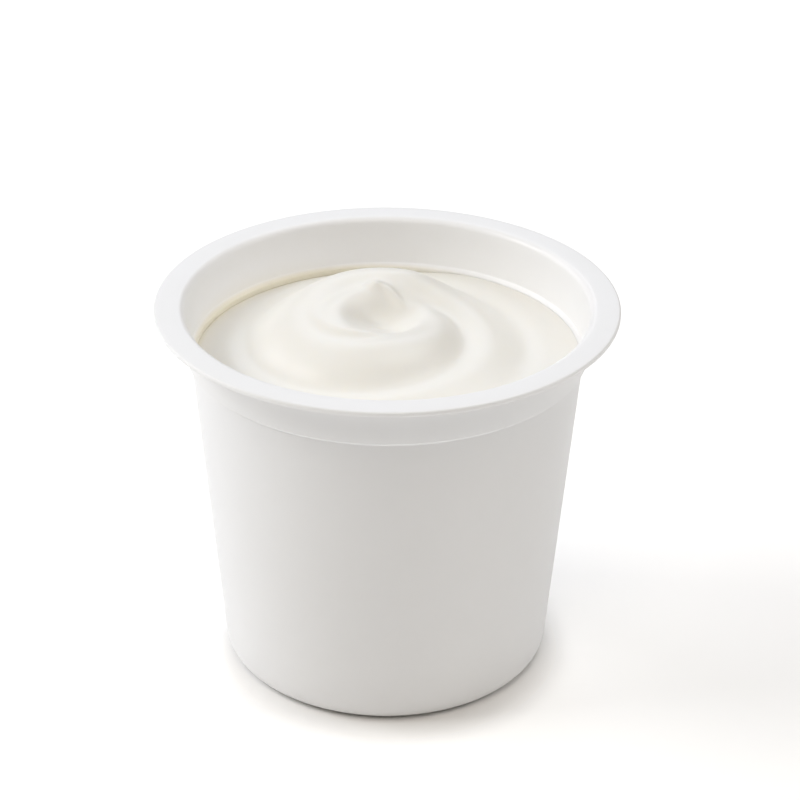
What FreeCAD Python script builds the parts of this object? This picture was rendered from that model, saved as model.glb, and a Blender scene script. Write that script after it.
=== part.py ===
# A single-serve pot of yogurt, open, in millimetres.
# The pot is one piece of formed sheet: a tapered cup with a flat flange, a stacking step
# under the flange and a base pushed up inside its foot ring. The yogurt fills it to just
# below the step, and its top is stirred into a spiral that ends in a small curled peak.
# +Z is up, and the origin is the middle of the foot ring, on the surface it stands on.

import FreeCAD, Part
import math
import os
import Sketcher

SIZES = {
    # the pot
    "overall_height": 80.0,
    "mouth_radius": 41.4,        # inside the neck, at the top
    "flange_width": 6.1,         # from the mouth out to the rim's edge
    "flange_thickness": 1.1,
    "flange_edge_round": 0.45,
    "rim_round": 1.5,            # where the flange turns down into the mouth
    "under_flange_round": 1.0,
    "wall": 0.8,
    "neck_taper": 1.05,          # how much narrower the neck is at its foot
    "neck_depth": 10.3,          # from the rim down to the neck's outer lower edge
    "step_drop": 0.8,            # how far down the step slopes
    "step_width": 0.9,           # how far in it goes
    "step_round": 0.35,
    "base_radius": 34.1,         # outside, at the level of the foot, before its rounding
    "base_round": 4.0,
    "push_up_height": 1.5,       # the base's raised middle
    "foot_margin": 7.1,          # from the base's corner in to the raised middle
    "push_up_round": 0.7,
    # the yogurt
    "fill_depth": 10.9,          # from the rim down to the yogurt at the wall
    "shoulder_rise": 1.5,        # how far its rounded edge rises, going in from the wall
    "shoulder_width": 7.0,
    "groove_depth": 1.1,         # beside the wall, at the back and on the left
    "groove_width": 3.0,
    "groove_side": 150.0,        # the direction its middle lies in, degrees from +X
    "calm_radius": 20.6,         # outside this the swirl dies away towards the wall
    "surface_spacing": 1.5,      # between the points that the top surface passes through
    # its spiral crest
    "swirl_x": -3.3,
    "swirl_y": -0.9,
    "swirl_radius": 30.1,        # where the crest's outer end lies
    "swirl_pitch": 14.8,         # from one turn of the crest to the next
    "swirl_start": -101.0,       # degrees from +X
    "swirl_fade": 19.6,          # the crest's outer end dies away over this width
    "swirl_lean": -0.4,          # 0 is an even wave, less than 0 leans it inwards
    "outer_ridge": 0.95,         # half the depth from crest to groove, in the outer turn
    "inner_ridge": 0.3,          # the same, in the inner turn
    # the mound that the spoon pulled up, and the bowl scooped into it
    "mound_x": -2.9,
    "mound_y": 4.8,
    "mound_height": 12.2,
    "mound_width": 17.4,         # from its middle to where it has fallen to about a third
    "mound_depth": 21.5,         # the same, from front to back
    "bowl_x": -1.1,
    "bowl_y": 4.2,
    "bowl_depth": 10.0,
    "bowl_radius": 10.3,
    # the fold behind the bowl
    "fold_x": -1.0,
    "fold_y": 12.0,
    "fold_height": 2.1,
    "fold_length": 11.9,
    "fold_width": 5.4,
    "fold_turn": 40.0,           # degrees from +X
    # the raised lip round the front of the bowl
    "lip_x": -4.0,
    "lip_y": 3.4,
    "lip_radius": 11.0,
    "lip_height": 0.39,
    "lip_width": 1.5,
    "lip_side": -118.0,          # where it is highest, degrees from +X
    # the peak, and the small wrinkle that runs down from it into the bowl
    "peak_x": -2.6,
    "peak_y": 12.4,
    "peak_height": 1.0,
    "peak_radius": 1.5,
    "wrinkle_x": 1.2,
    "wrinkle_y": 10.2,
    "wrinkle_height": 0.55,
    "wrinkle_length": 3.2,
    "wrinkle_width": 1.1,
    "wrinkle_turn": -49.0,       # degrees from +X
}

doc = FreeCAD.newDocument("yogurt_pot")
sheet = doc.addObject("Spreadsheet::Sheet", "sizes")
for row, alias in enumerate(SIZES, start=1):
    sheet.set("A%d" % row, alias)
    sheet.set("B%d" % row, str(SIZES[alias]))
    sheet.setAlias("B%d" % row, alias)
doc.recompute()


def size(alias):
    return float(getattr(sheet, alias))


# Outline corners, each a radius and a height worked out from the sheet's sizes.
# A sheet of even thickness is thinner across a 45 degree slope, so the inner side of a
# slope is shifted by this much beyond the wall.
SLOPE_SHIFT = "0.41 * sizes.wall"
RIM_TOP = "sizes.overall_height"
RIM_UNDER = "sizes.overall_height - sizes.flange_thickness"
RIM_OUT = "sizes.mouth_radius + sizes.flange_width"
STEP_TOP = "sizes.overall_height - sizes.neck_depth"
STEP_LOW = "%s - sizes.step_drop" % STEP_TOP
NECK_FOOT = "sizes.mouth_radius - sizes.neck_taper"
BODY_OUT = "%s + sizes.wall - sizes.step_width" % NECK_FOOT
TAPER = "(%s - sizes.base_radius) / (%s)" % (BODY_OUT, STEP_LOW)
FLOOR_MIDDLE = "sizes.push_up_height + sizes.wall"
PUSH_UP_TOP = "sizes.base_radius - sizes.foot_margin"
PUSH_UP_FOOT = "%s + sizes.push_up_height" % PUSH_UP_TOP

OUTSIDE = [
    ("0", "sizes.push_up_height"),
    (PUSH_UP_TOP, "sizes.push_up_height"),
    (PUSH_UP_FOOT, "0"),
    ("sizes.base_radius", "0"),
    (BODY_OUT, STEP_LOW),
    ("%s + sizes.wall" % NECK_FOOT, STEP_TOP),
    ("sizes.mouth_radius + sizes.wall", RIM_UNDER),
    (RIM_OUT, RIM_UNDER),
    (RIM_OUT, RIM_TOP),
]
INSIDE = [
    ("sizes.mouth_radius", RIM_TOP),
    (NECK_FOOT, "%s + %s" % (STEP_TOP, SLOPE_SHIFT)),
    ("%s - sizes.wall + %s * %s" % (BODY_OUT, TAPER, SLOPE_SHIFT), "%s + %s" % (STEP_LOW, SLOPE_SHIFT)),
    ("sizes.base_radius - sizes.wall + %s * sizes.wall" % TAPER, "sizes.wall"),
    ("%s + %s" % (PUSH_UP_FOOT, SLOPE_SHIFT), "sizes.wall"),
    ("%s + %s" % (PUSH_UP_TOP, SLOPE_SHIFT), FLOOR_MIDDLE),
    ("0", FLOOR_MIDDLE),
]


def origin_plane(body, role):
    for feature in body.Origin.OriginFeatures:
        if feature.Role == role:
            return feature
    raise RuntimeError("no origin plane " + role)


def outline_sketch(body, name, corners):
    """A closed outline of straight lines, every corner placed by two dimensions."""
    sketch = body.newObject("Sketcher::SketchObject", name)
    sketch.AttachmentSupport = [(origin_plane(body, "XZ_Plane"), "")]
    sketch.MapMode = "FlatFace"
    count = len(corners)
    # any loop with room between its corners will do here: the dimensions place them
    rough = [FreeCAD.Vector(60.0 + 40.0 * math.cos(2 * math.pi * i / count),
                            50.0 + 40.0 * math.sin(2 * math.pi * i / count), 0) for i in range(count)]
    for i in range(count):
        sketch.addGeometry(Part.LineSegment(rough[i], rough[(i + 1) % count]), False)
    for i in range(count):
        sketch.addConstraint(Sketcher.Constraint("Coincident", i, 2, (i + 1) % count, 1))
    for i, (radius, height) in enumerate(corners):
        for kind, where, rough_value in (("DistanceX", radius, rough[i].x), ("DistanceY", height, rough[i].y)):
            if where == "0":
                axis = -2 if kind == "DistanceX" else -1
                sketch.addConstraint(Sketcher.Constraint("PointOnObject", i, 1, axis))
            else:
                index = sketch.addConstraint(Sketcher.Constraint(kind, -1, 1, i, 1, rough_value))
                sketch.setExpression("Constraints[%d]" % index, where)
    doc.recompute()
    return sketch


def corner(sketch, index):
    """Radius and height of an outline's corner, as the sketch now has it."""
    point = sketch.Geometry[index].StartPoint
    return point.x, point.y


def revolved(body, sketch):
    turn = body.newObject("PartDesign::Revolution", body.Name + "_turn")
    turn.Profile = sketch
    turn.ReferenceAxis = (sketch, ["V_Axis"])
    turn.Angle = 360.0
    doc.recompute()
    return turn


def ring_edges(feature, corners):
    """Names of the feature's round edges that lie at the given radii and heights."""
    names = []
    for index, edge in enumerate(feature.Shape.Edges, start=1):
        if not isinstance(edge.Curve, Part.Circle):
            continue
        for radius, height in corners:
            if abs(edge.Curve.Radius - radius) < 1e-4 and abs(edge.Curve.Center.z - height) < 1e-4:
                names.append("Edge%d" % index)
    if len(names) != len(corners):
        raise RuntimeError("%s: %d of %d ring edges found" % (feature.Name, len(names), len(corners)))
    return names


def rounded(body, name, corners, radius):
    """A fillet on the ring edges of the body's newest feature; radius is an expression."""
    before = body.Tip
    fillet = body.newObject("PartDesign::Fillet", name)
    fillet.Base = (before, ring_edges(before, corners))
    fillet.setExpression("Radius", radius)
    doc.recompute()
    return fillet


def place(thing, label):
    thing.Label = label
    thing.Placement = FreeCAD.Placement(FreeCAD.Vector(0, 0, 0), FreeCAD.Rotation())
    return thing


# ---------------------------------------------------------------- the pot
def make_pot():
    body = doc.addObject("PartDesign::Body", "pot_body")
    outline = outline_sketch(body, "pot_outline", OUTSIDE + INSIDE)
    revolved(body, outline)
    first_inside = len(OUTSIDE)
    at = [corner(outline, i) for i in range(len(OUTSIDE) + len(INSIDE))]
    rounded(body, "flange_edge", [at[7], at[8]], "sizes.flange_edge_round")
    rounded(body, "rim", [at[first_inside]], "sizes.rim_round")
    rounded(body, "under_flange", [at[6]], "sizes.under_flange_round")
    rounded(body, "step", [at[4], at[5], at[first_inside + 1], at[first_inside + 2]], "sizes.step_round")
    rounded(body, "base_outside", [at[3]], "sizes.base_round")
    rounded(body, "base_inside", [at[first_inside + 3]], "sizes.base_round - sizes.wall")
    push_up = [at[1], at[2], at[first_inside + 4], at[first_inside + 5]]
    rounded(body, "push_up", push_up, "sizes.push_up_round")
    return place(body, "pot")


# ---------------------------------------------------------------- the yogurt
def smooth_step(value):
    """0 below 0, 1 above 1, and an even S between."""
    t = min(max(value, 0.0), 1.0)
    return t * t * (3.0 - 2.0 * t)


def bell(share):
    """1 in the middle, falling evenly to about a third where the share is 1."""
    return math.exp(-share ** 2)


def seen_from(name, x, y, turn=0.0):
    """A point's distances along and across a feature, from the feature's middle."""
    along_x = math.cos(math.radians(turn))
    along_y = math.sin(math.radians(turn))
    off_x = x - size(name + "_x")
    off_y = y - size(name + "_y")
    return off_x * along_x + off_y * along_y, off_y * along_x - off_x * along_y


def spiral(x, y):
    """One crest that winds inwards, with a groove between its turns."""
    off_x, off_y = seen_from("swirl", x, y)
    radius = math.hypot(off_x, off_y)
    angle = math.atan2(off_y, off_x) - math.radians(size("swirl_start"))
    inwards = size("swirl_radius") - radius
    phase = 2.0 * math.pi * inwards / size("swirl_pitch") - angle
    share_in = min(max(inwards / size("swirl_radius"), 0.0), 1.0)
    ridge = size("outer_ridge") + (size("inner_ridge") - size("outer_ridge")) * share_in
    outer_end = smooth_step(inwards / size("swirl_fade") + 0.5)
    middle = smooth_step(radius / (0.6 * size("swirl_pitch")))
    return ridge * outer_end * middle * math.cos(phase + size("swirl_lean") * math.sin(phase))


def mound(x, y):
    off_x, off_y = seen_from("mound", x, y)
    return size("mound_height") * bell(math.hypot(off_x / size("mound_width"), off_y / size("mound_depth")))


def bowl(x, y):
    return size("bowl_depth") * bell(math.hypot(*seen_from("bowl", x, y)) / size("bowl_radius"))


def fold(x, y):
    along, across = seen_from("fold", x, y, size("fold_turn"))
    return size("fold_height") * bell(math.hypot(along / size("fold_length"), across / size("fold_width")))


def lip(x, y):
    off_x, off_y = seen_from("lip", x, y)
    from_crest = math.hypot(off_x, off_y) - size("lip_radius")
    side = 0.5 + 0.5 * math.cos(math.atan2(off_y, off_x) - math.radians(size("lip_side")))
    return size("lip_height") * side * bell(from_crest / size("lip_width"))


def peak(x, y):
    return size("peak_height") * bell(math.hypot(*seen_from("peak", x, y)) / size("peak_radius"))


def wrinkle(x, y):
    along, across = seen_from("wrinkle", x, y, size("wrinkle_turn"))
    ends = bell((along / size("wrinkle_length")) ** 2)
    return size("wrinkle_height") * ends * bell(across / size("wrinkle_width"))


def edge(x, y):
    """The yogurt's rounded edge, with the groove that runs along part of the wall."""
    from_wall = size("mouth_radius") - size("neck_taper") - math.hypot(x, y)
    shoulder = size("shoulder_rise") * (1.0 - bell(from_wall / size("shoulder_width")))
    side = smooth_step(2.0 * math.cos(math.atan2(y, x) - math.radians(size("groove_side"))))
    return shoulder - size("groove_depth") * side * bell(from_wall / size("groove_width"))


def yogurt_level(x, y):
    """Height of the yogurt's top surface."""
    stirred = spiral(x, y) + mound(x, y) - bowl(x, y) + fold(x, y) + lip(x, y) + peak(x, y) + wrinkle(x, y)
    outwards = math.hypot(x, y) - size("calm_radius")
    calm = smooth_step(outwards / (size("mouth_radius") - size("neck_taper") - size("calm_radius")))
    return size("overall_height") - size("fill_depth") + edge(x, y) + stirred * (1.0 - calm)


def make_fill():
    """Everything inside the pot up to its rim, with the pot's own inner corners."""
    body = doc.addObject("PartDesign::Body", "fill_body")
    outline = outline_sketch(body, "fill_outline", INSIDE + [("0", RIM_TOP)])
    revolved(body, outline)
    at = [corner(outline, i) for i in range(len(INSIDE))]
    rounded(body, "fill_step", [at[1], at[2]], "sizes.step_round")
    rounded(body, "fill_base", [at[3]], "sizes.base_round - sizes.wall")
    rounded(body, "fill_push_up", [at[4], at[5]], "sizes.push_up_round")
    return body


def make_swirl():
    """A block whose top is the stirred surface and which reaches below the pot."""
    reach = size("mouth_radius") + size("surface_spacing")
    steps = int(math.ceil(2.0 * reach / size("surface_spacing")))
    rows = []
    for i in range(steps + 1):
        x = -reach + 2.0 * reach * i / steps
        row = []
        for j in range(steps + 1):
            y = -reach + 2.0 * reach * j / steps
            row.append(FreeCAD.Vector(x, y, yogurt_level(x, y)))
        rows.append(row)
    surface = Part.BSplineSurface()
    surface.interpolate(rows)
    block = doc.addObject("Part::Feature", "swirl_block")
    block.Shape = surface.toShape().extrude(FreeCAD.Vector(0, 0, -2.0 * size("overall_height")))
    return place(block, "swirl block")


def make_yogurt():
    yogurt = doc.addObject("Part::Common", "yogurt_common")
    yogurt.Base = make_fill()
    yogurt.Tool = make_swirl()
    doc.recompute()
    return place(yogurt, "yogurt")


# ---------------------------------------------------------------- build, check and write
sub_parts = [make_pot(), make_yogurt()]
doc.recompute()
for thing in doc.Objects:
    if "Invalid" in thing.State or "Error" in thing.State:
        raise RuntimeError("%s failed: %s" % (thing.Name, thing.State))
for thing in sub_parts:
    if thing.Shape.isNull() or not thing.Shape.isValid() or len(thing.Shape.Solids) != 1:
        raise RuntimeError("%s is not one sound solid" % thing.Label)

os.makedirs("parts", exist_ok=True)
for thing in sub_parts:
    thing.Shape.exportStep(os.path.join("parts", thing.Label + ".step"))
    box = thing.Shape.BoundBox
    print("%s: %.1f cm3, %.2f x %.2f x %.2f mm, top %.2f" % (
        thing.Label, thing.Shape.Volume / 1000.0, box.XLength, box.YLength, box.ZLength, box.ZMax))
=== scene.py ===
import math

import bmesh
import bpy
from mathutils import Matrix, Vector


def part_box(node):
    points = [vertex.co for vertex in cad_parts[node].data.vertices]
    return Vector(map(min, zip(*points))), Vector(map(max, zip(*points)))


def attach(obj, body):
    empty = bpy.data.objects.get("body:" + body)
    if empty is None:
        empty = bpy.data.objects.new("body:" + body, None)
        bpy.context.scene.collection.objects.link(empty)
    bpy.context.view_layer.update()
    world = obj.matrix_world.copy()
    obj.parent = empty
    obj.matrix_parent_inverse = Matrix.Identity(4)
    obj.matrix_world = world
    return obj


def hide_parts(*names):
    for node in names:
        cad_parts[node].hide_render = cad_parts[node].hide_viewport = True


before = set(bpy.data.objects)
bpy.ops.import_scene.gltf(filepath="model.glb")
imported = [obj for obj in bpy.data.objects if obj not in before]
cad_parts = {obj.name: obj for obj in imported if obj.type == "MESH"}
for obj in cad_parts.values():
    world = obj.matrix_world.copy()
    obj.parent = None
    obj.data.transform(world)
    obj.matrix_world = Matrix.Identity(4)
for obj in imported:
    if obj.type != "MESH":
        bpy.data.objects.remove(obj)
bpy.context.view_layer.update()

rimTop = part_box("pot")[1][2]
print("frame loaded, pot height", round(rimTop, 4))

mergeDistance = 1e-6              # points nearer than this are one point
sharpAngle = math.radians(40.0)   # an edge that turns more than this stays sharp


# shared tools

def newPiece(name, bm, material):
    # doubles go first, then the faces are turned outwards
    bmesh.ops.remove_doubles(bm, verts=bm.verts, dist=mergeDistance)
    bmesh.ops.recalc_face_normals(bm, faces=bm.faces)
    for face in bm.faces:
        face.smooth = True
    for edge in bm.edges:
        edge.smooth = edge.calc_face_angle(0.0) < sharpAngle
    mesh = bpy.data.meshes.new(name)
    bm.to_mesh(mesh)
    bm.free()
    mesh.materials.append(material)
    piece = bpy.data.objects.new(name, mesh)
    bpy.context.collection.objects.link(piece)
    return piece


def drawOutline(bm, corners):
    # a chain of edges in the XZ plane
    verts = [bm.verts.new((radius, 0.0, height)) for radius, height in corners]
    for pair in zip(verts, verts[1:]):
        bm.edges.new(pair)


def spinOutline(bm, steps):
    bmesh.ops.spin(bm, geom=bm.verts[:] + bm.edges[:], cent=(0, 0, 0), axis=(0, 0, 1),
                   angle=math.tau, steps=steps, use_merge=True)
    bmesh.ops.remove_doubles(bm, verts=bm.verts, dist=mergeDistance)


def roundCorner(bm, corner, rounding):
    # rounds one corner of a drawn outline to this radius
    vert = min(bm.verts, key=lambda other: (other.co - Vector((corner[0], 0.0, corner[1]))).length)
    first, second = [(edge.other_vert(vert).co - vert.co).normalized() for edge in vert.link_edges]
    turn = math.pi - first.angle(second)
    offset = rounding * math.tan(0.5 * turn)
    segments = max(cup["fewestSegments"], math.ceil(turn / cup["roundingStep"]))
    bmesh.ops.bevel(bm, geom=[vert], offset=offset, offset_type='OFFSET', segments=segments,
                    profile=0.5, affect='VERTICES', material=-1)


def cutLongEdges(bm, longest):
    for edge in bm.edges[:]:
        cuts = int(edge.calc_length() / longest)
        if cuts:
            bmesh.ops.subdivide_edges(bm, edges=[edge], cuts=cuts)


def smoothStep(value):
    t = min(max(value, 0.0), 1.0)
    return t * t * (3.0 - 2.0 * t)


def bell(share):
    # 1 in the middle, about a third where the share is 1
    return math.exp(-share * share)


# materials

def addNode(tree, kind, x, y, **settings):
    node = tree.nodes.new(kind)
    node.location = (x, y)
    for key, value in settings.items():
        setattr(node, key, value)
    return node


mottle = {
    "detail": 3.0,
    "spread": (0.3, 0.7),   # nearly all of the mask lies between these
}


def makeMottleGroup():
    # two sizes of cloudy unevenness in one mask around 0.5
    group = bpy.data.node_groups.new("cloudyMottle", 'ShaderNodeTree')
    for name, kind in (("Place", 'NodeSocketVector'), ("Broad Scale", 'NodeSocketFloat'),
                       ("Fine Scale", 'NodeSocketFloat'), ("Fine Share", 'NodeSocketFloat')):
        group.interface.new_socket(name, in_out='INPUT', socket_type=kind)
    group.interface.new_socket("Mask", in_out='OUTPUT', socket_type='NodeSocketFloat')
    inlet = addNode(group, 'NodeGroupInput', -600, 0)
    outlet = addNode(group, 'NodeGroupOutput', 400, 0)
    broad = addNode(group, 'ShaderNodeTexNoise', -300, 150)
    fine = addNode(group, 'ShaderNodeTexNoise', -300, -150)
    for noise, scale in ((broad, "Broad Scale"), (fine, "Fine Scale")):
        noise.inputs["Detail"].default_value = mottle["detail"]
        group.links.new(inlet.outputs["Place"], noise.inputs["Vector"])
        group.links.new(inlet.outputs[scale], noise.inputs["Scale"])
    mix = addNode(group, 'ShaderNodeMix', 100, 0, data_type='FLOAT')
    group.links.new(inlet.outputs["Fine Share"], mix.inputs["Factor"])
    group.links.new(broad.outputs["Fac"], mix.inputs["A"])
    group.links.new(fine.outputs["Fac"], mix.inputs["B"])
    group.links.new(mix.outputs["Result"], outlet.inputs["Mask"])
    return group


mottleGroup = makeMottleGroup()


def makeRingGroup():
    # 0 at the radius From, 1 at the radius To and beyond, smooth between them
    group = bpy.data.node_groups.new("outwardRing", 'ShaderNodeTree')
    for name, kind in (("Place", 'NodeSocketVector'), ("Middle", 'NodeSocketVector'),
                       ("From", 'NodeSocketFloat'), ("To", 'NodeSocketFloat')):
        group.interface.new_socket(name, in_out='INPUT', socket_type=kind)
    group.interface.new_socket("Mask", in_out='OUTPUT', socket_type='NodeSocketFloat')
    inlet = addNode(group, 'NodeGroupInput', -800, 0)
    outlet = addNode(group, 'NodeGroupOutput', 400, 0)
    offset = addNode(group, 'ShaderNodeVectorMath', -600, 0, operation='SUBTRACT')
    flat = addNode(group, 'ShaderNodeVectorMath', -400, 0, operation='MULTIPLY')
    flat.inputs[1].default_value = (1.0, 1.0, 0.0)
    length = addNode(group, 'ShaderNodeVectorMath', -150, 0, operation='LENGTH')
    ramp = addNode(group, 'ShaderNodeMapRange', 100, 0, interpolation_type='SMOOTHSTEP')
    group.links.new(inlet.outputs["Place"], offset.inputs[0])
    group.links.new(inlet.outputs["Middle"], offset.inputs[1])
    group.links.new(offset.outputs["Vector"], flat.inputs[0])
    group.links.new(flat.outputs["Vector"], length.inputs[0])
    group.links.new(length.outputs["Value"], ramp.inputs["Value"])
    group.links.new(inlet.outputs["From"], ramp.inputs["From Min"])
    group.links.new(inlet.outputs["To"], ramp.inputs["From Max"])
    group.links.new(ramp.outputs["Result"], outlet.inputs["Mask"])
    return group


ringGroup = makeRingGroup()


def addRing(material, ring):
    # lays the ring's colour over the material's own
    tree = material.node_tree
    place = [node for node in tree.nodes if node.bl_idname == 'ShaderNodeTexCoord'][0]
    mask = addNode(tree, 'ShaderNodeGroup', -500, 650, node_tree=ringGroup)
    mask.inputs["Middle"].default_value = ring["middle"]
    mask.inputs["From"].default_value = ring["start"]
    mask.inputs["To"].default_value = ring["end"]
    mix = addNode(tree, 'ShaderNodeMix', -200, 450, data_type='RGBA')
    colour = tree.nodes["Principled BSDF"].inputs["Base Color"]
    tree.links.new(place.outputs["Object"], mask.inputs["Place"])
    tree.links.new(mask.outputs["Mask"], mix.inputs["Factor"])
    tree.links.new(colour.links[0].from_socket, mix.inputs["A"])
    mix.inputs["B"].default_value = (*ring["colour"], 1.0)
    tree.links.new(mix.outputs["Result"], colour)


def makeSkin(name, looks):
    # one shader for the sheet and the yogurt: a colour between two tones, a roughness
    # between two values and a very low bump, all from the same cloudy masks
    material = bpy.data.materials.new(name)
    material.use_nodes = True
    tree = material.node_tree
    shader = tree.nodes["Principled BSDF"]
    place = addNode(tree, 'ShaderNodeTexCoord', -1100, 0)
    colourMask = addNode(tree, 'ShaderNodeGroup', -850, 250, node_tree=mottleGroup)
    surfaceMask = addNode(tree, 'ShaderNodeGroup', -850, -150, node_tree=mottleGroup)
    for mask, scales in ((colourMask, looks["colourScales"]), (surfaceMask, looks["surfaceScales"])):
        tree.links.new(place.outputs["Object"], mask.inputs["Place"])
        mask.inputs["Broad Scale"].default_value = scales[0]
        mask.inputs["Fine Scale"].default_value = scales[1]
        mask.inputs["Fine Share"].default_value = looks["fineShare"]
    tones = addNode(tree, 'ShaderNodeMix', -500, 250, data_type='RGBA')
    tones.inputs["A"].default_value = (*looks["toneLow"], 1.0)
    tones.inputs["B"].default_value = (*looks["toneHigh"], 1.0)
    tree.links.new(colourMask.outputs["Mask"], tones.inputs["Factor"])
    tree.links.new(tones.outputs["Result"], shader.inputs["Base Color"])
    gloss = addNode(tree, 'ShaderNodeMapRange', -500, 0)
    gloss.inputs["From Min"].default_value = mottle["spread"][0]
    gloss.inputs["From Max"].default_value = mottle["spread"][1]
    gloss.inputs["To Min"].default_value = looks["roughLow"]
    gloss.inputs["To Max"].default_value = looks["roughHigh"]
    tree.links.new(surfaceMask.outputs["Mask"], gloss.inputs["Value"])
    tree.links.new(gloss.outputs["Result"], shader.inputs["Roughness"])
    bump = addNode(tree, 'ShaderNodeBump', -500, -250)
    bump.inputs["Strength"].default_value = looks["bumpStrength"]
    bump.inputs["Distance"].default_value = looks["bumpDistance"]
    tree.links.new(surfaceMask.outputs["Mask"], bump.inputs["Height"])
    tree.links.new(bump.outputs["Normal"], shader.inputs["Normal"])
    shader.inputs["IOR"].default_value = looks["ior"]
    shader.inputs["Subsurface Weight"].default_value = looks["subsurface"]
    shader.inputs["Subsurface Radius"].default_value = looks["subsurfaceRadius"]
    shader.inputs["Subsurface Scale"].default_value = looks["subsurfaceScale"]
    return material


sheetLooks = {
    "toneLow": (0.84, 0.84, 0.835),
    "toneHigh": (0.87, 0.87, 0.87),
    "colourScales": (30.0, 260.0),
    "surfaceScales": (90.0, 500.0),
    "fineShare": 0.35,
    "roughLow": 0.34,
    "roughHigh": 0.44,
    "bumpStrength": 0.1,
    "bumpDistance": 0.0002,
    "ior": 1.5,
    "subsurface": 0.25,
    "subsurfaceRadius": (1.0, 1.0, 1.0),
    "subsurfaceScale": 0.0018,
}
outerSheet = makeSkin("formedSheetOuter", sheetLooks)
# more light comes through the thin wall to its inner side
innerSheet = makeSkin("formedSheetInner", {**sheetLooks, "subsurface": 0.9})
setYogurt = makeSkin("plainYogurt", {
    "toneLow": (0.855, 0.835, 0.775),
    "toneHigh": (0.885, 0.87, 0.82),
    "colourScales": (60.0, 500.0),
    "surfaceScales": (120.0, 400.0),
    "fineShare": 0.3,
    "roughLow": 0.285,
    "roughHigh": 0.35,
    "bumpStrength": 0.1,
    "bumpDistance": 0.00015,
    "ior": 1.46,
    "subsurface": 0.2,
    "subsurfaceRadius": (1.0, 0.85, 0.65),
    "subsurfaceScale": 0.001,
})

# painted shade, partly a whey tint: a darker olive band along the wall at the back and on the left,
# where the wall shades the yogurt, and on the pot's step there; so the sheet's ring runs inwards: its
# start is the wider one
addRing(setYogurt, {"colour": (0.80, 0.765, 0.66), "middle": (0.0012, -0.001, 0.0),
                    "start": 0.0395, "end": 0.0412})
# painted shade and painted yellow bounce light, partly a whey tint, on the inner step just above the
# yogurt
addRing(innerSheet, {"colour": (0.79, 0.75, 0.64), "middle": (-0.00092, 0.00077, 0.0),
                     "start": 0.0396, "end": 0.0384})
print("materials made")


# the pot

cup = {
    "wall": 0.0008,
    "flangeRadius": 0.0475,
    "flangeThickness": 0.0011,
    "flangeEdgeRound": 0.00045,
    "mouthRadius": 0.0414,       # inside, at the top of the neck
    "rimRound": 0.0015,
    "underFlangeRound": 0.001,
    "neckFootRadius": 0.04035,   # inside, at the stacking step
    "stepHeight": 0.0697,
    "stepDrop": 0.0008,
    "stepWidth": 0.0009,
    "stepRound": 0.00035,
    "baseRadius": 0.0341,
    "baseRound": 0.004,
    "pushUpHeight": 0.0015,
    "pushUpRadius": 0.027,
    "pushUpRound": 0.0007,
    "slopeShare": 0.41,          # of the wall, keeps the sheet even across a 45 degree slope
    "aroundSteps": 192,
    "longestEdge": 0.002,
    "roundingStep": math.radians(12.0),
    "fewestSegments": 3,
    "facesInwards": 0.01,        # a face that leans inwards at least this much is an inner one
    "facesDown": -0.001,         # and one that looks down more than this is not
}
slopeShift = cup["slopeShare"] * cup["wall"]
neckOut = cup["neckFootRadius"] + cup["wall"]
bodyOut = neckOut - cup["stepWidth"]
stepLow = cup["stepHeight"] - cup["stepDrop"]
taper = (bodyOut - cup["baseRadius"]) / stepLow
pushUpFoot = cup["pushUpRadius"] + cup["pushUpHeight"]
innerStepTop = (cup["neckFootRadius"], cup["stepHeight"] + slopeShift)
innerStepLow = (bodyOut - cup["wall"] + taper * slopeShift, stepLow + slopeShift)
innerCorner = (cup["baseRadius"] - cup["wall"] + taper * cup["wall"], cup["wall"])
innerPushUpFoot = (pushUpFoot + slopeShift, cup["wall"])
innerPushUpTop = (cup["pushUpRadius"] + slopeShift, cup["pushUpHeight"] + cup["wall"])


def makeCup():
    bm = bmesh.new()
    underFlange = rimTop - cup["flangeThickness"]
    neckTop = (cup["mouthRadius"] + cup["wall"], underFlange)
    outline = [
        (0.0, cup["pushUpHeight"]),
        (cup["pushUpRadius"], cup["pushUpHeight"]),
        (pushUpFoot, 0.0),
        (cup["baseRadius"], 0.0),
        (bodyOut, stepLow),
        (neckOut, cup["stepHeight"]),
        neckTop,
        (cup["flangeRadius"], underFlange),
        (cup["flangeRadius"], rimTop),
        (cup["mouthRadius"], rimTop),
        innerStepTop,
        innerStepLow,
        innerCorner,
        innerPushUpFoot,
        innerPushUpTop,
        (0.0, innerPushUpTop[1]),
    ]
    drawOutline(bm, outline)
    for corner, rounding in (
            (outline[1], cup["pushUpRound"]),
            (outline[2], cup["pushUpRound"]),
            (outline[3], cup["baseRound"]),
            (outline[4], cup["stepRound"]),
            (outline[5], cup["stepRound"]),
            (neckTop, cup["underFlangeRound"]),
            (outline[7], cup["flangeEdgeRound"]),
            (outline[8], cup["flangeEdgeRound"]),
            (outline[9], cup["rimRound"]),
            (innerStepTop, cup["stepRound"]),
            (innerStepLow, cup["stepRound"]),
            (innerCorner, cup["baseRound"] - cup["wall"]),
            (innerPushUpFoot, cup["pushUpRound"]),
            (innerPushUpTop, cup["pushUpRound"])):
        roundCorner(bm, corner, rounding)
    cutLongEdges(bm, cup["longestEdge"])
    spinOutline(bm, cup["aroundSteps"])
    # the inner side looks inwards and up, from the rim's rounding down
    bmesh.ops.recalc_face_normals(bm, faces=bm.faces)
    for face in bm.faces:
        middle = face.calc_center_median()
        inwards = -face.normal.x * middle.x - face.normal.y * middle.y
        if inwards > cup["facesInwards"] * middle.xy.length and face.normal.z > cup["facesDown"]:
            face.material_index = 1
    piece = newPiece("yogurtPotShell", bm, outerSheet)
    piece.data.materials.append(innerSheet)
    return piece


shell = makeCup()
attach(shell, "root")
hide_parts("pot")
print("pot made,", len(shell.data.polygons), "faces")


# the yogurt

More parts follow.
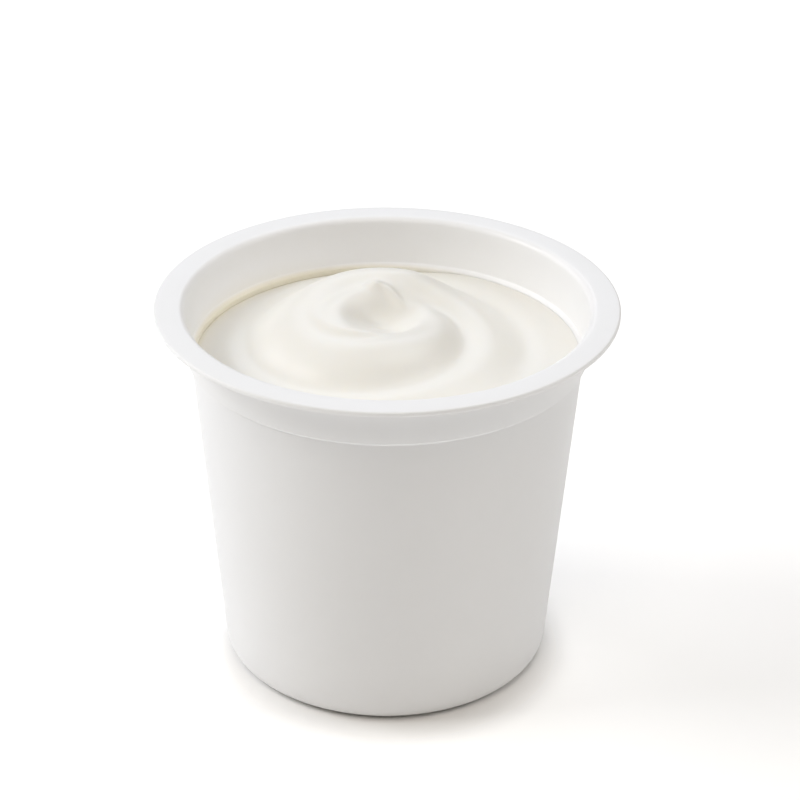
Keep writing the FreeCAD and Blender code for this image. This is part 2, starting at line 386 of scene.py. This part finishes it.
swirl = {
    "fillDepth": 0.0109,         # from the rim down to the yogurt at the wall
    "calmRadius": 0.0206,        # outside this the swirl dies away towards the wall
    "intoWall": 0.0003,
    "cornerCut": 0.2,            # of the base's rounding, how near the sides go to the corner
    "belowStep": 2.0,            # how far under the step the sides end, in step drops
    "shoulder": {"rise": 0.0015, "width": 0.007},
    # the groove runs along part of the wall, and a larger "ends" makes its ends shorter
    "groove": {"depth": 0.0011, "width": 0.003, "side": 150.0, "ends": 2.0},
    "aroundSteps": 256,
    "topSpacing": 0.0003,
    "spiral": {"x": -0.0033, "y": -0.0009, "radius": 0.0301, "pitch": 0.0148, "start": -101.0,
               "fade": 0.0196, "lean": -0.4, "outerRidge": 0.00095, "innerRidge": 0.0003,
               "middleShare": 0.6},   # of the pitch, where the ridge rises from nothing
    "mound": {"x": -0.0029, "y": 0.0048, "height": 0.0122, "width": 0.0174, "depth": 0.0215},
    "bowl": {"x": -0.0011, "y": 0.0042, "depth": 0.01, "radius": 0.0103},
    "fold": {"x": -0.001, "y": 0.012, "height": 0.0021, "length": 0.0119, "width": 0.0054,
             "turn": 40.0},
    "lip": {"x": -0.004, "y": 0.0034, "radius": 0.011, "height": 0.00039, "width": 0.0015,
            "side": -118.0},
    "peak": {"x": -0.0026, "y": 0.0124, "height": 0.001, "radius": 0.0015},
    "wrinkle": {"x": 0.0012, "y": 0.0102, "height": 0.00055, "length": 0.0032, "width": 0.0011,
                "turn": -49.0},
}


def seenFrom(part, x, y):
    # distances along and across a part of the swirl, from its middle
    turn = math.radians(part.get("turn", 0.0))
    offX, offY = x - part["x"], y - part["y"]
    return offX * math.cos(turn) + offY * math.sin(turn), offY * math.cos(turn) - offX * math.sin(turn)


def spiralRidge(x, y):
    part = swirl["spiral"]
    offX, offY = seenFrom(part, x, y)
    radius = math.hypot(offX, offY)
    inwards = part["radius"] - radius
    phase = math.tau * inwards / part["pitch"] - math.atan2(offY, offX) + math.radians(part["start"])
    shareIn = min(max(inwards / part["radius"], 0.0), 1.0)
    ridge = part["outerRidge"] + (part["innerRidge"] - part["outerRidge"]) * shareIn
    outerEnd = smoothStep(inwards / part["fade"] + 0.5)
    middleEnd = smoothStep(radius / (part["middleShare"] * part["pitch"]))
    return ridge * (outerEnd * middleEnd) * math.cos(phase + part["lean"] * math.sin(phase))


def moundAndBowl(x, y):
    offX, offY = seenFrom(swirl["mound"], x, y)
    moundShare = math.hypot(offX / swirl["mound"]["width"], offY / swirl["mound"]["depth"])
    bowlShare = math.hypot(*seenFrom(swirl["bowl"], x, y)) / swirl["bowl"]["radius"]
    return swirl["mound"]["height"] * bell(moundShare) - swirl["bowl"]["depth"] * bell(bowlShare)


def foldBehind(x, y):
    part = swirl["fold"]
    along, across = seenFrom(part, x, y)
    return part["height"] * bell(math.hypot(along / part["length"], across / part["width"]))


def lipInFront(x, y):
    part = swirl["lip"]
    offX, offY = seenFrom(part, x, y)
    side = 0.5 + 0.5 * math.cos(math.atan2(offY, offX) - math.radians(part["side"]))
    return part["height"] * side * bell((math.hypot(offX, offY) - part["radius"]) / part["width"])


def peakAndWrinkle(x, y):
    part = swirl["wrinkle"]
    along, across = seenFrom(part, x, y)
    wrinkle = part["height"] * bell((along / part["length"]) ** 2) * bell(across / part["width"])
    peakShare = math.hypot(*seenFrom(swirl["peak"], x, y)) / swirl["peak"]["radius"]
    return wrinkle + swirl["peak"]["height"] * bell(peakShare)


def edgeForm(x, y):
    shoulder, groove = swirl["shoulder"], swirl["groove"]
    fromWall = cup["neckFootRadius"] - math.hypot(x, y)
    side = smoothStep(groove["ends"] * math.cos(math.atan2(y, x) - math.radians(groove["side"])))
    return (shoulder["rise"] * (1.0 - bell(fromWall / shoulder["width"]))
            - groove["depth"] * side * bell(fromWall / groove["width"]))


def yogurtLevel(x, y):
    radius = math.hypot(x, y)
    stirred = (spiralRidge(x, y) + moundAndBowl(x, y) + foldBehind(x, y) + lipInFront(x, y)
               + peakAndWrinkle(x, y))
    calm = smoothStep((radius - swirl["calmRadius"]) / (cup["neckFootRadius"] - swirl["calmRadius"]))
    return rimTop - swirl["fillDepth"] + edgeForm(x, y) + stirred * (1.0 - calm)


def innerRadius(height):
    # how far out the pot's inner side is, up the body's wall and past the step
    if height > innerStepTop[1]:
        return innerStepTop[0]
    if height > innerStepLow[1]:
        return innerStepLow[0] + height - innerStepLow[1]
    return innerStepLow[0] - taper * (innerStepLow[1] - height)


def makeYogurt():
    bm = bmesh.new()
    into = swirl["intoWall"]
    fillLevel = rimTop - swirl["fillDepth"]
    cut = swirl["cornerCut"] * cup["baseRound"]
    sidesTop = swirl["belowStep"] * cup["stepDrop"]
    # the sides go just into the sheet, and the top is a fine flat disc to begin with
    sides = [
        (0.0, innerPushUpTop[1] - into),
        (innerPushUpTop[0], innerPushUpTop[1] - into),
        (innerPushUpFoot[0], innerPushUpFoot[1] - into),
        (innerCorner[0] - cup["baseRound"], innerCorner[1] - into),
        (innerCorner[0] - cut, innerCorner[1] + cut - into),
        (innerCorner[0] + taper * cup["baseRound"] + into, innerCorner[1] + cup["baseRound"]),
        (innerStepLow[0] - taper * sidesTop + into, innerStepLow[1] - sidesTop),
    ]
    drawOutline(bm, sides)
    low = max(bm.verts, key=lambda vert: (vert.co.z, vert.co.x))
    edge = bm.verts.new((cup["neckFootRadius"] + into, 0.0, fillLevel))
    middle = bm.verts.new((0.0, 0.0, fillLevel))
    bm.edges.new((low, edge))
    across = bm.edges.new((edge, middle))
    bmesh.ops.subdivide_edges(bm, edges=[across], cuts=int(edge.co.x / swirl["topSpacing"]))
    spinOutline(bm, swirl["aroundSteps"])
    for vert in bm.verts:
        radius = vert.co.xy.length
        if abs(vert.co.z - fillLevel) < mergeDistance:
            vert.co.z = yogurtLevel(vert.co.x, vert.co.y)
        if radius > innerRadius(vert.co.z) + into:
            vert.co.xy *= (innerRadius(vert.co.z) + into) / radius
    return newPiece("stirredYogurt", bm, setYogurt)


yogurt = makeYogurt()
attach(yogurt, "root")
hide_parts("yogurt")
print("yogurt made,", len(yogurt.data.polygons), "faces, top",
      round(max(vert.co.z for vert in yogurt.data.vertices), 4))


# the studio

studio = {
    "floorSize": 6.0,
    "floorColour": (0.866, 0.86, 0.848),
    "floorRoughness": 0.7,
    "floorSpecular": 0.2,
    "floorGlow": 0.179,          # keeps the pale floor white away from the pot
    "seenGlow": 0.6,             # how much stronger the glow looks than it shines on the pot
    # the glow fades out inside this ring round the base, off-centre to the right and front: a painted
    # shadow under and beside the pot
    "paintedShadowRing": {"middle": (0.001, -0.004, 0.0), "start": 0.031, "end": 0.041},
    "worldColour": (1.0, 0.92, 0.8),
    "worldStrength": 0.085,
    "lampDistance": 1.6,
    "lampWidth": 0.8,
    "lamps": {
        # name: height and bearing in degrees (0 towards the camera, 90 to the right), watts, colour
        "keyLeft": (35.0, 270.0, 7.2, (1.05, 1.01, 0.94)),
        "highLeft": (45.0, 270.0, 6.0, (0.93, 1.0, 1.07)),
        "lowBackLeft": (25.0, 240.0, 5.2, (0.94, 0.96, 1.1)),
        "highFront": (60.0, 0.0, 6.5, (1.08, 1.0, 0.92)),
        "lowRight": (35.0, 90.0, 5.5, (1.02, 1.0, 0.98)),
        "highBackRight": (60.0, 135.0, 4.4, (0.96, 1.0, 1.04)),
        "back": (35.0, 180.0, 2.8, (0.88, 0.97, 1.15)),
    },
    "camera": {"target": (0.0027, 0.0, 0.05738), "distance": 0.5537, "elevation": 28.18,
               "roll": 0.46, "lens": 120.0, "sensor": 36.0},
}


def makeFloor():
    material = bpy.data.materials.new("paleFloor")
    material.use_nodes = True
    shader = material.node_tree.nodes["Principled BSDF"]
    shader.inputs["Base Color"].default_value = (*studio["floorColour"], 1.0)
    shader.inputs["Roughness"].default_value = studio["floorRoughness"]
    shader.inputs["Specular IOR Level"].default_value = studio["floorSpecular"]
    place = addNode(material.node_tree, 'ShaderNodeTexCoord', -600, -200)
    # no glow near the base: painted shadow round the pot
    mask = addNode(material.node_tree, 'ShaderNodeGroup', -300, -200, node_tree=ringGroup)
    mask.inputs["Middle"].default_value = studio["paintedShadowRing"]["middle"]
    mask.inputs["From"].default_value = studio["paintedShadowRing"]["start"]
    mask.inputs["To"].default_value = studio["paintedShadowRing"]["end"]
    material.node_tree.links.new(place.outputs["Object"], mask.inputs["Place"])
    path = addNode(material.node_tree, 'ShaderNodeLightPath', -600, -500)
    seen = addNode(material.node_tree, 'ShaderNodeMath', -300, -500, operation='MULTIPLY_ADD')
    seen.inputs[1].default_value = studio["seenGlow"]
    seen.inputs[2].default_value = 1.0
    glow = addNode(material.node_tree, 'ShaderNodeMath', -100, -300, operation='MULTIPLY')
    material.node_tree.links.new(path.outputs["Is Camera Ray"], seen.inputs[0])
    material.node_tree.links.new(mask.outputs["Mask"], glow.inputs[0])
    material.node_tree.links.new(seen.outputs["Value"], glow.inputs[1])
    material.node_tree.links.new(glow.outputs["Value"], shader.inputs["Emission Color"])
    shader.inputs["Emission Strength"].default_value = studio["floorGlow"]
    bm = bmesh.new()
    bmesh.ops.create_grid(bm, x_segments=1, y_segments=1, size=0.5 * studio["floorSize"])
    floor = newPiece("floor", bm, material)


def makeLights():
    middle = Vector((0.0, 0.0, 0.5 * rimTop))
    for name, (height, bearing, watts, colour) in studio["lamps"].items():
        lamp = bpy.data.lights.new(name, 'AREA')
        lamp.size = studio["lampWidth"]
        lamp.energy = watts
        lamp.color = colour
        light = bpy.data.objects.new(name, lamp)
        level = studio["lampDistance"] * math.cos(math.radians(height))
        place = Vector((level * math.sin(math.radians(bearing)),
                        -level * math.cos(math.radians(bearing)),
                        studio["lampDistance"] * math.sin(math.radians(height))))
        light.location = place
        light.rotation_euler = (middle - place).to_track_quat('-Z', 'Y').to_euler()
        bpy.context.collection.objects.link(light)
    world = bpy.data.worlds.new("softStudio")
    world.use_nodes = True
    world.node_tree.nodes["Background"].inputs["Color"].default_value = (*studio["worldColour"], 1.0)
    world.node_tree.nodes["Background"].inputs["Strength"].default_value = studio["worldStrength"]
    bpy.context.scene.world = world


def makeCamera():
    view = studio["camera"]
    tilt = math.radians(view["elevation"])
    back = Vector((0.0, -math.cos(tilt), math.sin(tilt)))
    lens = bpy.data.cameras.new("camera")
    lens.lens = view["lens"]
    lens.sensor_width = view["sensor"]
    camera = bpy.data.objects.new("camera", lens)
    roll = Matrix.Rotation(math.radians(view["roll"]), 4, 'Z')
    turn = (-back).to_track_quat('-Z', 'Y').to_matrix().to_4x4() @ roll
    camera.matrix_world = Matrix.Translation(Vector(view["target"]) + back * view["distance"]) @ turn
    bpy.context.collection.objects.link(camera)
    bpy.context.scene.camera = camera


makeFloor()
makeLights()
makeCamera()
bpy.context.scene.view_settings.view_transform = 'Standard'
print("studio made")
